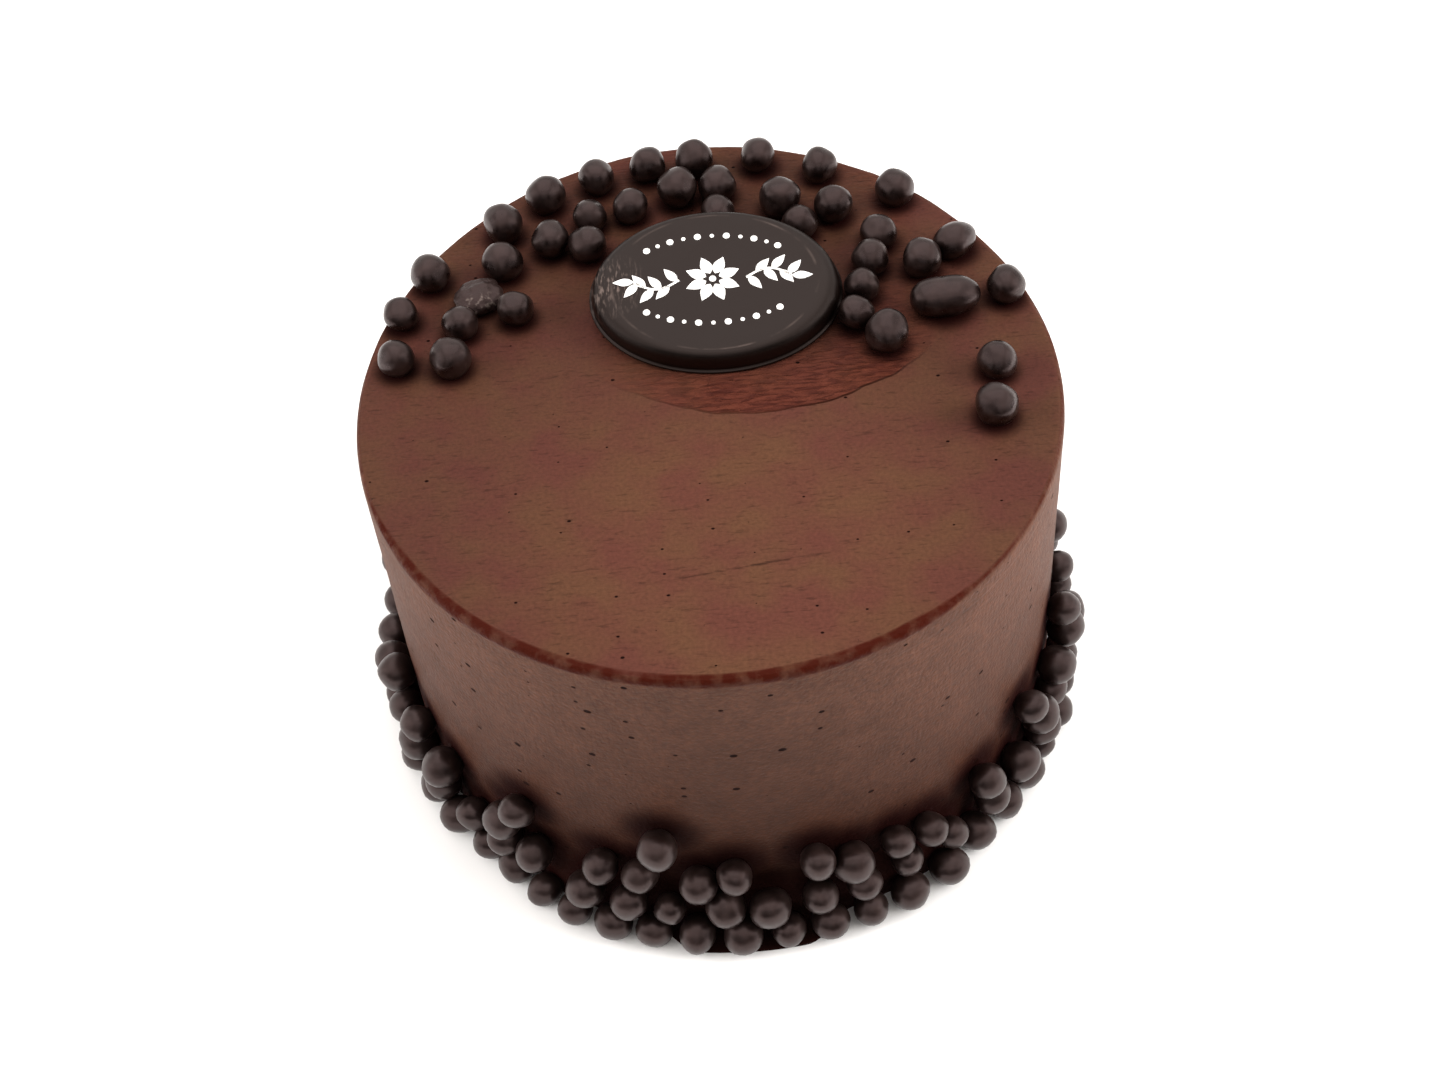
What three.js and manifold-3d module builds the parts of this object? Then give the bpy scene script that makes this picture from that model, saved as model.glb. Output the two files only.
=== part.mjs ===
// A small chocolate caramel cake: a drum of cake under a smooth coat of chocolate cream, an oval
// chocolate plaque on top, chocolate pearls in a crescent behind it, and a band of the same
// pearls pressed round the foot.
// Millimetres, +Z up. The origin is the centre of the flat underside, and -Y is the front.

import * as THREE from 'three';
import { mergeVertices } from 'three/addons/utils/BufferGeometryUtils.js';
import Module from 'manifold-3d';

// ---------------------------------------------------------------- driving dimensions

const CAKE = {
  height: 92,
  topRadius: 74,
  baseRadius: 75.6, // the coat is thicker at the foot
  edgeRound: 1.7,
  sides: 72,
};

// The hand-spread coat isn't quite round: each lobe adds or takes this much radius.
const OUT_OF_ROUND = [
  { lobes: 2, size: 0.3 },
  { lobes: 3, size: 0.5 },
];

// At the front the cream is squeezed out under the pearls in a low step.
const FOOT = { spread: 3.4, fullHeight: 8, endHeight: 17, halfAngle: 30, fadeAngle: 12 };

// The chocolate pearls, a little uneven in size.
const TOP_PEARL = { diameter: 8.5, uneven: 0.1, sunk: 0.6 };
const FOOT_PEARL = { diameter: 8.4, uneven: 0.11, pressed: 0.5 };
const PEARL_CLEAR = 0.15; // least air between two pearls

// Top pearls lie along arcs round the back of the top face. Angles are degrees either side of
// the back, positive to the right. shapes names the odd pieces among them by their place.
const TOP_ARCS = [
  { radius: 68, from: -80, to: -57, count: 3 },
  { radius: 67, from: -40, to: 12, count: 6 },
  { radius: 67, from: 26, to: 74, count: 4, shapes: { 2: 'egg' } },
  { radius: 61, from: 91, to: 104, count: 2 },
  { radius: 56, from: -80, to: 7, count: 9, shapes: { 2: 'crumb' } },
  { radius: 55, from: 21, to: 72, count: 5, shapes: { 4: 'twin' } },
  { radius: 46.5, from: -57, to: -31, count: 2 },
  { radius: 47, from: 6, to: 52, count: 3 },
  { radius: 38, from: 53, to: 77, count: 3 },
];
const TOP_SCATTER = 1.8; // how far a pearl may lie off its arc, each way
const TOP_SEED = 12770;

// The odd pieces: an egg-shaped pearl, a broken crumb, and two pearls coated as one.
const ODD_PIECES = {
  egg: { length: 10.2, width: 7.8, height: 7.6, bearing: 55 },
  crumb: { length: 10.6, width: 9.4, height: 5.4, bearing: 70 },
  twin: { length: 15.2, width: 9.2, height: 8.6, bearing: 85 },
};

// Foot pearls: a first ring on the table, then rows of places that are filled by chance.
// shift and scatter are shares of the distance between places.
const FIRST_RING_GAP = 1.0;
const UPPER_ROWS = [
  { places: 46, filled: 0.95, shift: 0.5, scatter: 0.4 },
  { places: 44, filled: 0.72, shift: 0.0, scatter: 0.5 },
  { places: 44, filled: 0.25, shift: 0.5, scatter: 0.6 },
];
const FOOT_SEED = 10723;
const LONE_PEARL = { angle: -13.5, height: 34, diameter: 9.2 }; // sits by itself above the band

// The plaque leans back on the pearls behind it.
const PLAQUE = {
  length: 54.6,
  width: 41,
  thickness: 5,
  lip: 0.6, // thin flash at the bottom of the moulding
  shoulder: 4.4, // how far the rounded edge runs in
  centreX: 3.4,
  frontY: 3.5,
  tilt: 7,
  turn: -2.7,
  gap: 0.3,
  sides: 56,
};

const CREAM_COLOUR = '#7a5343';
const PLAQUE_COLOUR = '#3d3330';

// ---------------------------------------------------------------- small tools

const wasm = await Module();
wasm.setup();

// A repeatable draw between 0 and 1.
function drawer(seed) {
  let state = seed;
  return () => {
    state = (state * 16807) % 2147483647;
    return (state - 1) / 2147483646;
  };
}

function easeInOut(value) {
  const t = Math.min(1, Math.max(0, value));
  return t * t * (3 - 2 * t);
}

const radians = THREE.MathUtils.degToRad;

// Difference of two angles, between -180 and 180 degrees.
function turnBetween(a, b) {
  return ((((a - b + 180) % 360) + 360) % 360) - 180;
}

function toSolid(geometry) {
  geometry.deleteAttribute('normal');
  geometry.deleteAttribute('uv');
  const merged = mergeVertices(geometry, 1e-4);
  const corners = merged.index.array;
  const triangles = [];
  for (let i = 0; i < corners.length; i += 3) {
    const [a, b, c] = [corners[i], corners[i + 1], corners[i + 2]];
    if (a !== b && b !== c && c !== a) {
      triangles.push(a, b, c);
    }
  }
  return new wasm.Manifold(new wasm.Mesh({
    numProp: 3,
    vertProperties: new Float32Array(merged.attributes.position.array),
    triVerts: new Uint32Array(triangles),
  }));
}

function toGeometry(solid) {
  const { vertProperties, triVerts } = solid.getMesh();
  const geometry = new THREE.BufferGeometry();
  geometry.setAttribute('position', new THREE.BufferAttribute(vertProperties, 3));
  geometry.setIndex(new THREE.BufferAttribute(triVerts, 1));
  geometry.computeVertexNormals();
  return geometry;
}

// ---------------------------------------------------------------- the coated drum

// How much the foot's step adds at a height, and at an angle either side of the front.
function footStep(height, angle) {
  const sideways = 1 - easeInOut((Math.abs(angle) - FOOT.halfAngle) / FOOT.fadeAngle);
  const upwards = 1 - easeInOut((height - FOOT.fullHeight) / (FOOT.endHeight - FOOT.fullHeight));
  return FOOT.spread * sideways * upwards;
}

function outOfRound(angle) {
  const round = radians(angle - 90);
  return -OUT_OF_ROUND.reduce((sum, { lobes, size }) => sum + size * Math.sin(lobes * round), 0);
}

function wallRadius(height, angle) {
  const share = height / CAKE.height;
  const cone = CAKE.baseRadius + (CAKE.topRadius - CAKE.baseRadius) * share;
  return cone + outOfRound(angle) + footStep(height, angle);
}

function drum() {
  const straight = (height) =>
    CAKE.baseRadius + (CAKE.topRadius - CAKE.baseRadius) * (height / CAKE.height);
  const footRows = [0, 0.5, 0.7, 0.85, 1].map(
    (share) => FOOT.fullHeight + (FOOT.endHeight - FOOT.fullHeight) * share);
  const edgeRows = [0, 30, 60, 90].map(radians);
  const profile = [
    new THREE.Vector2(0, 0),
    ...[0, ...footRows].map((height) => new THREE.Vector2(straight(height), height)),
    ...edgeRows.map((turn) => new THREE.Vector2(
      CAKE.topRadius - CAKE.edgeRound * (1 - Math.cos(turn)),
      CAKE.height - CAKE.edgeRound * (1 - Math.sin(turn)))),
    new THREE.Vector2(0, CAKE.height),
  ];
  const geometry = new THREE.LatheGeometry(profile, CAKE.sides);
  geometry.rotateX(Math.PI / 2);
  const points = geometry.attributes.position;
  for (let i = 0; i < points.count; i += 1) {
    const [x, y, z] = [points.getX(i), points.getY(i), points.getZ(i)];
    const radius = Math.hypot(x, y);
    if (radius > 1) {
      const angle = THREE.MathUtils.radToDeg(Math.atan2(x, -y));
      const grown = (wallRadius(z, angle) - straight(z)) * (radius / straight(z));
      points.setX(i, x * (1 + grown / radius));
      points.setY(i, y * (1 + grown / radius));
    }
  }
  return toSolid(geometry);
}

// ---------------------------------------------------------------- the plaque

function plaqueGeometry() {
  const half = PLAQUE.length / 2;
  const side = half - PLAQUE.lip;
  const springing = PLAQUE.lip * 2; // height where the rounded shoulder starts
  const profile = [
    new THREE.Vector2(0, 0),
    new THREE.Vector2(half, 0),
    new THREE.Vector2(half, PLAQUE.lip),
    ...[0, 22.5, 45, 67.5, 90].map(radians).map((turn) => new THREE.Vector2(
      side - PLAQUE.shoulder * (1 - Math.cos(turn)),
      springing + (PLAQUE.thickness - springing) * Math.sin(turn))),
    new THREE.Vector2(0, PLAQUE.thickness),
  ];
  const geometry = new THREE.LatheGeometry(profile, PLAQUE.sides);
  geometry.rotateX(Math.PI / 2);
  geometry.scale(1, PLAQUE.width / PLAQUE.length, 1);
  return geometry;
}

// Turned in its own plane, then tipped back about its front edge.
function plaquePlace() {
  const turned = new THREE.Matrix4().makeRotationZ(radians(PLAQUE.turn));
  const toFrontEdge = new THREE.Matrix4().makeTranslation(0, PLAQUE.width / 2, 0);
  const tipped = new THREE.Matrix4().makeRotationX(radians(PLAQUE.tilt));
  const home = new THREE.Matrix4().makeTranslation(
    PLAQUE.centreX, PLAQUE.frontY, CAKE.height + PLAQUE.gap);
  return home.multiply(tipped).multiply(toFrontEdge).multiply(turned);
}

// ---------------------------------------------------------------- pearls on top

// Pushes a top pearl out of the plaque's outline, seen from above.
function clearOfPlaque(pearl) {
  const reach = pearl.radius + PLAQUE.gap;
  const halfX = PLAQUE.length / 2 + reach;
  const halfY = (PLAQUE.width / 2) * Math.cos(radians(PLAQUE.tilt)) + reach;
  const centreY = PLAQUE.frontY + halfY - reach;
  const [dx, dy] = [(pearl.x - PLAQUE.centreX) / halfX, (pearl.y - centreY) / halfY];
  const inside = Math.hypot(dx, dy);
  if (inside < 1) {
    pearl.x = PLAQUE.centreX + (dx / inside) * halfX;
    pearl.y = centreY + (dy / inside) * halfY;
  }
}

function pushApart(pearls) {
  for (let round = 0; round < 60; round += 1) {
    for (let i = 0; i < pearls.length; i += 1) {
      for (let j = i + 1; j < pearls.length; j += 1) {
        const [a, b] = [pearls[i], pearls[j]];
        const apart = Math.hypot(b.x - a.x, b.y - a.y);
        const overlap = a.radius + b.radius + PEARL_CLEAR - apart;
        if (overlap > 0) {
          const [stepX, stepY] = [(b.x - a.x) / apart, (b.y - a.y) / apart];
          a.x -= (stepX * overlap) / 2;
          a.y -= (stepY * overlap) / 2;
          b.x += (stepX * overlap) / 2;
          b.y += (stepY * overlap) / 2;
        }
      }
    }
    pearls.forEach(clearOfPlaque);
  }
}

function topPearls() {
  const draw = drawer(TOP_SEED);
  const pearls = [];
  for (const { radius, from, to, count, shapes = {} } of TOP_ARCS) {
    for (let i = 0; i < count; i += 1) {
      const along = radians(from + ((to - from) * i) / (count - 1));
      const out = radius + TOP_SCATTER * (2 * draw() - 1);
      const angle = along + (TOP_SCATTER * (2 * draw() - 1)) / out;
      const size = TOP_PEARL.diameter * (1 + TOP_PEARL.uneven * (2 * draw() - 1));
      const odd = ODD_PIECES[shapes[i]];
      pearls.push({
        x: out * Math.sin(angle),
        y: out * Math.cos(angle),
        radius: odd ? odd.length / 2 : size / 2,
        odd,
      });
    }
  }
  pushApart(pearls);
  return pearls;
}

function topPearlSolid({ x, y, radius, odd }) {
  const geometry = new THREE.IcosahedronGeometry(radius, 1);
  let height = radius;
  if (odd) {
    height = odd.height / 2;
    geometry.scale(1, odd.width / odd.length, odd.height / odd.length);
    geometry.rotateZ(radians(90 - odd.bearing));
  }
  geometry.translate(x, y, CAKE.height + height - TOP_PEARL.sunk);
  return toSolid(geometry);
}

// ---------------------------------------------------------------- pearls round the foot

// The height at which a pearl comes to rest on the ones already there.
function restingHeight(radius, angle, pearls, ringRadius) {
  let height = radius;
  for (const other of pearls) {
    const across = radians(turnBetween(angle, other.angle)) * ringRadius;
    const reach = radius + other.radius + PEARL_CLEAR;
    if (Math.abs(across) < reach) {
      height = Math.max(height, other.height + Math.sqrt(reach * reach - across * across));
    }
  }
  return height;
}

function footPearls() {
  const draw = drawer(FOOT_SEED);
  const size = () => (FOOT_PEARL.diameter / 2) * (1 + FOOT_PEARL.uneven * (2 * draw() - 1));
  const ringRadius = CAKE.baseRadius + FOOT_PEARL.diameter / 2 - FOOT_PEARL.pressed;
  const degrees = (length) => THREE.MathUtils.radToDeg(length / ringRadius);
  const pearls = [];

  let angle = -180;
  let radius = size();
  const first = radius;
  for (;;) {
    pearls.push({ angle, height: radius, radius });
    const next = size();
    const step = degrees(radius + next + PEARL_CLEAR + FIRST_RING_GAP * draw());
    if (angle + step + degrees(next + first + PEARL_CLEAR) > 180) {
      break;
    }
    angle += step;
    radius = next;
  }

  for (const { places, filled, shift, scatter } of UPPER_ROWS) {
    for (let place = 0; place < places; place += 1) {
      const used = draw() < filled;
      const turn = ((place + shift + scatter * (draw() - 0.5)) * 360) / places;
      const upperRadius = size();
      if (used) {
        const upperAngle = turnBetween(turn, 180);
        const height = restingHeight(upperRadius, upperAngle, pearls, ringRadius);
        pearls.push({ angle: upperAngle, height, radius: upperRadius });
      }
    }
  }
  const { diameter, ...place } = LONE_PEARL;
  pearls.push({ ...place, radius: diameter / 2 });
  return pearls;
}

function footPearlSolid({ angle, height, radius }) {
  const out = wallRadius(height, angle) + radius - FOOT_PEARL.pressed;
  const geometry = new THREE.OctahedronGeometry(radius, 1);
  geometry.translate(0, -out, height);
  geometry.rotateZ(radians(angle));
  return toSolid(geometry);
}

// ---------------------------------------------------------------- the cake, put together

const cakeSolid = [...topPearls().map(topPearlSolid), ...footPearls().map(footPearlSolid)]
  .reduce((joined, pearl) => joined.add(pearl), drum());

const cake = new THREE.Mesh(
  toGeometry(cakeSolid),
  new THREE.MeshStandardMaterial({ color: CREAM_COLOUR, roughness: 0.6, metalness: 0 }));
cake.name = 'cake';

const plaque = new THREE.Mesh(
  plaqueGeometry(),
  new THREE.MeshStandardMaterial({ color: PLAQUE_COLOUR, roughness: 0.4, metalness: 0 }));
plaque.name = 'plaque';
plaque.applyMatrix4(plaquePlace());

const group = new THREE.Group();
group.add(cake, plaque);

export default group;
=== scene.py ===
import math

import bpy
from mathutils import Matrix, Vector, noise
from mathutils.kdtree import KDTree


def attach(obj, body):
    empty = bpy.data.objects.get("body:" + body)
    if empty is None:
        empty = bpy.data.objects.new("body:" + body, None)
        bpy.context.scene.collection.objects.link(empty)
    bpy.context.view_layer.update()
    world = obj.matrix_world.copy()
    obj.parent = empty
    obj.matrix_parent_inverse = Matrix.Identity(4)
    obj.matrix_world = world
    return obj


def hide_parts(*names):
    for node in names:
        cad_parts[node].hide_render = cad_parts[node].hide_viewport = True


# A small chocolate caramel cake: a drum of cake in a smooth coat of chocolate cream, with
# chocolate pearls scattered round the back of its top and pressed round its foot, and an oval
# chocolate plaque leaning on the pearls. Metres, +Z up, the front is -Y.
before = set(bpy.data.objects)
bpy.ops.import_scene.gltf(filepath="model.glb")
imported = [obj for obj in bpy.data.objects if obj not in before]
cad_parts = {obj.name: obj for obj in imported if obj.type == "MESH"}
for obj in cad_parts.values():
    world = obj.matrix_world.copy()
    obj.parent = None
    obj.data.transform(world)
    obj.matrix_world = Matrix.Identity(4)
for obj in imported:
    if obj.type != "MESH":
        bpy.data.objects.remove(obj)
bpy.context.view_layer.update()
scene = bpy.context.scene
MM = 0.001

# ------------------------------------------------------------------ the camera
# Held by hand in front of the cake, close, looking steeply down, and turned a little in the
# frame, so that the cake seems to lean.
IMAGE_WIDTH = 1440
FOCAL_LENGTH_PIXELS = 2111
CAMERA_PLACE = Vector((5.4, -291.6, 426.4)) * MM
CAMERA_DOWN = 53.06
CAMERA_LEFT = 1.13
CAMERA_ROLL = -5.55

camera_data = bpy.data.cameras.new("camera")
camera_data.sensor_width = 36
camera_data.lens = camera_data.sensor_width * FOCAL_LENGTH_PIXELS / IMAGE_WIDTH
camera_data.clip_start = 10 * MM
camera = bpy.data.objects.new("camera", camera_data)
scene.collection.objects.link(camera)
scene.camera = camera
camera.matrix_world = (
    Matrix.Translation(CAMERA_PLACE)
    @ Matrix.Rotation(math.radians(CAMERA_LEFT), 4, "Z")
    @ Matrix.Rotation(math.radians(90 - CAMERA_DOWN), 4, "X")
    @ Matrix.Rotation(math.radians(CAMERA_ROLL), 4, "Z")
)

# ------------------------------------------------------------------ the table and the light
# A white table top in a pale room that is dim low down in front, which darkens the front of the
# wall and the lower part of each pearl. A wide soft lamp hangs overhead, one stands on each side,
# and three faint ones only show in what shines.
TABLE_SIZE = 6.0
TABLE_COLOUR = "#f2f1ef"
ROOM_COLOUR = "#fff8f4"
ROOM_STRENGTH = 1.02
FRONT_STRENGTH = 0.04
FRONT_SHADE_SLOPE, FRONT_SHADE_SOFT = 0.95, 0.12
# The lamps: where each stands, the side of its square face, its power, whether it lights the
# cake, and whether it shows in what shines.
LAMPS = {
    "soft_lamp_above": (Vector((0, 0.35, 1.5)), 2.0, 10, True, True),
    "soft_lamp_left": (Vector((-1.1, -0.1, 0.5)), 0.9, 18, True, False),
    "soft_lamp_right": (Vector((1.1, -0.1, 0.5)), 0.9, 26, True, False),
    "glow_left": (Vector((-1.15, -0.35, 0.4)), 1.2, 2.4, False, True),
    "glow_right": (Vector((1.15, -0.35, 0.4)), 1.2, 2.4, False, True),
    "glow_in_front": (Vector((0, -0.9, 0.8)), 0.8, 0.9, False, True),
}


def linear(hex_colour):
    """An sRGB hex colour as the linear values that Blender works in."""
    shares = [int(hex_colour[i : i + 2], 16) / 255 for i in (1, 3, 5)]
    return [s / 12.92 if s <= 0.04045 else ((s + 0.055) / 1.055) ** 2.4 for s in shares] + [1]


def fill(tree, node, inputs):
    """Fills or links inputs of a node, each by its name or its place."""
    for place, value in inputs.items():
        if isinstance(value, bpy.types.Node):
            value = next(output for output in value.outputs if output.enabled)
        if isinstance(value, bpy.types.NodeSocket):
            tree.links.new(value, node.inputs[place])
        else:
            node.inputs[place].default_value = value


def add(tree, kind, inputs=None, **settings):
    """Adds a node, sets its own fields and fills its inputs."""
    made = tree.nodes.new(kind)
    for name, value in settings.items():
        setattr(made, name, value)
    fill(tree, made, inputs or {})
    return made


def new_material(name):
    """A node material, with its tree and its shader."""
    material = bpy.data.materials.new(name)
    material.use_nodes = True
    tree = material.node_tree
    return material, tree, tree.nodes["Principled BSDF"]


def new_piece(name, points, faces):
    """A mesh object in the scene, smooth, with its place in its points."""
    mesh = bpy.data.meshes.new(name)
    mesh.from_pydata([tuple(point) for point in points], [], faces)
    mesh.shade_smooth()
    piece = bpy.data.objects.new(name, mesh)
    scene.collection.objects.link(piece)
    return piece


table_half = TABLE_SIZE / 2
table = new_piece(
    "table",
    [(x * table_half, y * table_half, 0) for x, y in ((-1, -1), (1, -1), (1, 1), (-1, 1))],
    [(0, 1, 2, 3)],
)
# Matt white laminate, which shows only as a pale ground.
table_white, tree, shader = new_material("matt_white_laminate")
fill(tree, shader, {"Base Color": linear(TABLE_COLOUR), "Roughness": 0.7})
table.data.materials.append(table_white)

world = bpy.data.worlds.new("room")
world.use_nodes = True
scene.world = world
tree = world.node_tree
toward = add(tree, "ShaderNodeSeparateXYZ", {0: add(tree, "ShaderNodeTexCoord")})
raised = add(tree, "ShaderNodeMath", {
    0: toward.outputs["Y"], 1: FRONT_SHADE_SLOPE, 2: toward.outputs["Z"],
}, operation="MULTIPLY_ADD")
strength = add(tree, "ShaderNodeMapRange", {
    0: raised, 1: -FRONT_SHADE_SOFT, 2: FRONT_SHADE_SOFT, 3: FRONT_STRENGTH, 4: ROOM_STRENGTH,
})
fill(tree, tree.nodes["Background"], {"Color": linear(ROOM_COLOUR), "Strength": strength})

for name, (lamp_place, size, power, lights, shows) in LAMPS.items():
    lamp_data = bpy.data.lights.new(name, "AREA")
    lamp_data.size = size
    lamp_data.energy = power
    lamp = bpy.data.objects.new(name, lamp_data)
    scene.collection.objects.link(lamp)
    lamp.visible_diffuse = lights
    lamp.visible_glossy = shows
    lamp.location = lamp_place
    lamp.rotation_euler = lamp_place.to_track_quat("Z", "Y").to_euler()
scene.view_settings.view_transform = "Standard"

# ------------------------------------------------------------------ the coat of chocolate cream
# Whipped chocolate cream, spread over the whole cake with a palette knife and smoothed on a
# turntable. Air makes it pale and grainy on the wall. Its top edge was pressed dense, and the dark
# band there is partly painted shade, where the rounded edge mirrors the dim front of the room and
# shows no sheen.
CAKE_HEIGHT = 92 * MM
TOP_RADIUS = 74 * MM
BASE_RADIUS = 75.6 * MM
EDGE_ROUND = 1.7 * MM
OUT_OF_ROUND = {2: 0.3 * MM, 3: 0.5 * MM}
FOOT_SPREAD = 3.4 * MM
FOOT_FULL, FOOT_END = 8 * MM, 17 * MM
FOOT_HALF_ANGLE, FOOT_FADE_ANGLE = 30, 12
LIP_SPREAD = 6.2 * MM  # cream that squeezed out under the front pearls, in a thin lip
LIP_THICK = 1.4 * MM
LIP_HALF_ANGLE, LIP_FADE_ANGLE = 8, 9
COAT_SIDES = 420
COAT_UNDER_ROW, COAT_ROW, INNERMOST = 8 * MM, 1 * MM, 1 * MM
COAT_FOOT_ROW, COAT_FOOT_BAND = 0.25 * MM, 2 * MM  # closer rows by the table
COAT_FINE_ROW, COAT_FINE_BAND = 0.4 * MM, 5 * MM  # closer rows by the top edge
EDGE_ROWS = 8
# The dark band, partly pressed cream and partly painted shade, reaches this far from the corner,
# further at the front left.
PRESSED_REACH, PRESSED_FRONT_REACH = 0.8 * MM, 1.8 * MM
PRESSED_FRONT, PRESSED_HALF_ANGLE, PRESSED_FADE_ANGLE = -14, 42, 18
PRESSED_SOFT = 0.5 * MM


def ease(value):
    t = min(1, max(0, value))
    return t * t * (3 - 2 * t)


def straight_radius(height):
    return BASE_RADIUS + (TOP_RADIUS - BASE_RADIUS) * height / CAKE_HEIGHT


def wall_radius(height, angle):
    """The cake's radius at a height, and at an angle in degrees from the front to the right."""
    lobes = sum(
        size * math.sin(count * math.radians(angle - 90)) for count, size in OUT_OF_ROUND.items()
    )
    sideways = 1 - ease((abs(angle) - FOOT_HALF_ANGLE) / FOOT_FADE_ANGLE)
    upwards = 1 - ease((height - FOOT_FULL) / (FOOT_END - FOOT_FULL))
    return straight_radius(height) - lobes + FOOT_SPREAD * sideways * upwards


def lip_reach(height, angle):
    sideways = 1 - ease((abs(angle) - LIP_HALF_ANGLE) / LIP_FADE_ANGLE)
    return LIP_SPREAD * sideways * (1 - ease(height / LIP_THICK))


def steps(start, end, size):
    """Evenly spaced values from start up to, but not including, end."""
    count = max(1, round(abs(end - start) / size))
    return [start + (end - start) * i / count for i in range(count)]


# The profile, from the middle of the underside to the middle of the top: radius and height.
edge_start = CAKE_HEIGHT - EDGE_ROUND
fine_start = edge_start - COAT_FINE_BAND
flat_start = TOP_RADIUS - EDGE_ROUND
fine_end = flat_start - COAT_FINE_BAND
profile = [(radius, 0) for radius in steps(COAT_UNDER_ROW, BASE_RADIUS, COAT_UNDER_ROW)]
for start, end, row in (
    (0, COAT_FOOT_BAND, COAT_FOOT_ROW),
    (COAT_FOOT_BAND, fine_start, COAT_ROW),
    (fine_start, edge_start, COAT_FINE_ROW),
):
    profile += [(straight_radius(height), height) for height in steps(start, end, row)]
for i in range(EDGE_ROWS + 1):
    turn = math.pi / 2 * i / EDGE_ROWS
    profile.append((
        TOP_RADIUS - EDGE_ROUND * (1 - math.cos(turn)),
        edge_start + EDGE_ROUND * math.sin(turn),
    ))
flat = steps(flat_start, fine_end, COAT_FINE_ROW)[1:] + steps(fine_end, INNERMOST, COAT_ROW)
profile += [(radius, CAKE_HEIGHT) for radius in flat]

coat_points = [(0, 0, 0)]
on_top = [0.0]
pressed = [0.0]
for radius, height in profile:
    for side in range(COAT_SIDES):
        angle = (side * 360 / COAT_SIDES + 180) % 360 - 180
        grown = (wall_radius(height, angle) - straight_radius(height)) * radius
        reach = radius + grown / straight_radius(height)
        if radius > BASE_RADIUS - FOOT_SPREAD:
            reach += lip_reach(height, angle)
        turn = math.radians(angle)
        coat_points.append((reach * math.sin(turn), -reach * math.cos(turn), height))
        from_corner = math.hypot(TOP_RADIUS - radius, CAKE_HEIGHT - height)
        on_top.append(1.0 if radius < TOP_RADIUS - EDGE_ROUND / 2 and height > 0 else 0.0)
        sideways = (abs(angle - PRESSED_FRONT) - PRESSED_HALF_ANGLE) / PRESSED_FADE_ANGLE
        band = PRESSED_REACH + (PRESSED_FRONT_REACH - PRESSED_REACH) * (1 - ease(sideways))
        pressed.append(1 - ease((from_corner - band) / PRESSED_SOFT + 0.5))
coat_points.append((0, 0, CAKE_HEIGHT))
on_top.append(1.0)
pressed.append(0.0)


def closed_skin(rows, sides):
    """The faces over rows of points that lie between a single first and a single last point."""
    last = 1 + rows * sides
    faces = []
    for side in range(sides):
        after = (side + 1) % sides
        faces.append((0, 1 + after, 1 + side))
        for low in range(1, last - sides, sides):
            high = low + sides
            faces.append((low + side, low + after, high + after, high + side))
        faces.append((last - sides + side, last - sides + after, last))
    return faces


def mark_points(piece, name, values):
    """Keeps a value with each point of a piece, for its materials and node trees to read."""
    piece.data.attributes.new(name, "FLOAT", "POINT").data.foreach_set("value", values)


coat = new_piece("cream_coat", coat_points, closed_skin(len(profile), COAT_SIDES))
mark_points(coat, "on_top", on_top)
mark_points(coat, "pressed", pressed)


def new_geometry_tree(name, output, inputs):
    """A Geometry Nodes tree that makes one geometry, and the sockets of its named inputs."""
    tree = bpy.data.node_groups.new(name, "GeometryNodeTree")
    tree.interface.new_socket(output, in_out="OUTPUT", socket_type="NodeSocketGeometry")
    for socket, kind in inputs.items():
        tree.interface.new_socket(socket, in_out="INPUT", socket_type="NodeSocket" + kind)
    return tree, add(tree, "NodeGroupInput").outputs


def ups_and_downs(tree, pattern, height):
    """A pattern from 0 to 1 as a relief of a height, half of it up and half of it down."""
    pattern = add(tree, "ShaderNodeMath", {0: pattern, 1: 0.5}, operation="SUBTRACT")
    return add(tree, "ShaderNodeMath", {0: pattern, 1: height}, operation="MULTIPLY")


# The palette knife's marks. On the wall they run level, as the turntable turned; on top they
# are shallow swells, and the pressed edge wavers. The cream on the table stays flat.
FLAT_FOOT = 0.5 * MM
spread, given = new_geometry_tree("spread_with_a_knife", "Cream", {
    "Cream": "Geometry", "Swell Height": "Float", "Swell Width": "Float",
    "Streak Height": "Float", "Streak Width": "Float", "Streak Length": "Float",
    "Edge Waver": "Float", "Edge Wave Length": "Float", "Material": "Material",
})
place = add(spread, "GeometryNodeInputPosition")
facing = add(spread, "GeometryNodeInputNormal")
top_share = add(spread, "GeometryNodeInputNamedAttribute", {"Name": "on_top"})
wall_share = add(spread, "ShaderNodeMath", {0: 1.0, 1: top_share}, operation="SUBTRACT")
edge_share = add(spread, "GeometryNodeInputNamedAttribute", {"Name": "pressed"})

swell = add(spread, "ShaderNodeMath", {0: 1.0, 1: given["Swell Width"]}, operation="DIVIDE")
swell = add(spread, "ShaderNodeTexNoise", {"Vector": place, "Scale": swell, "Detail": 1.0})
swell = ups_and_downs(spread, swell, given["Swell Height"])

streak = add(spread, "ShaderNodeCombineXYZ", {
    0: given["Streak Length"], 1: given["Streak Length"], 2: given["Streak Width"],
})
streak = add(spread, "ShaderNodeVectorMath", {0: place, 1: streak}, operation="DIVIDE")
streak = add(spread, "ShaderNodeTexNoise", {"Vector": streak, "Scale": 1.0, "Detail": 2.0})
streak = ups_and_downs(spread, streak, given["Streak Height"])
streak = add(spread, "ShaderNodeMath", {0: streak, 1: wall_share}, operation="MULTIPLY")

waver = add(spread, "ShaderNodeMath", {0: 1.0, 1: given["Edge Wave Length"]}, operation="DIVIDE")
waver = add(spread, "ShaderNodeTexNoise", {"Vector": place, "Scale": waver, "Detail": 2.0})
waver = ups_and_downs(spread, waver, given["Edge Waver"])
waver = add(spread, "ShaderNodeMath", {0: waver, 1: edge_share}, operation="MULTIPLY")

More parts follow.
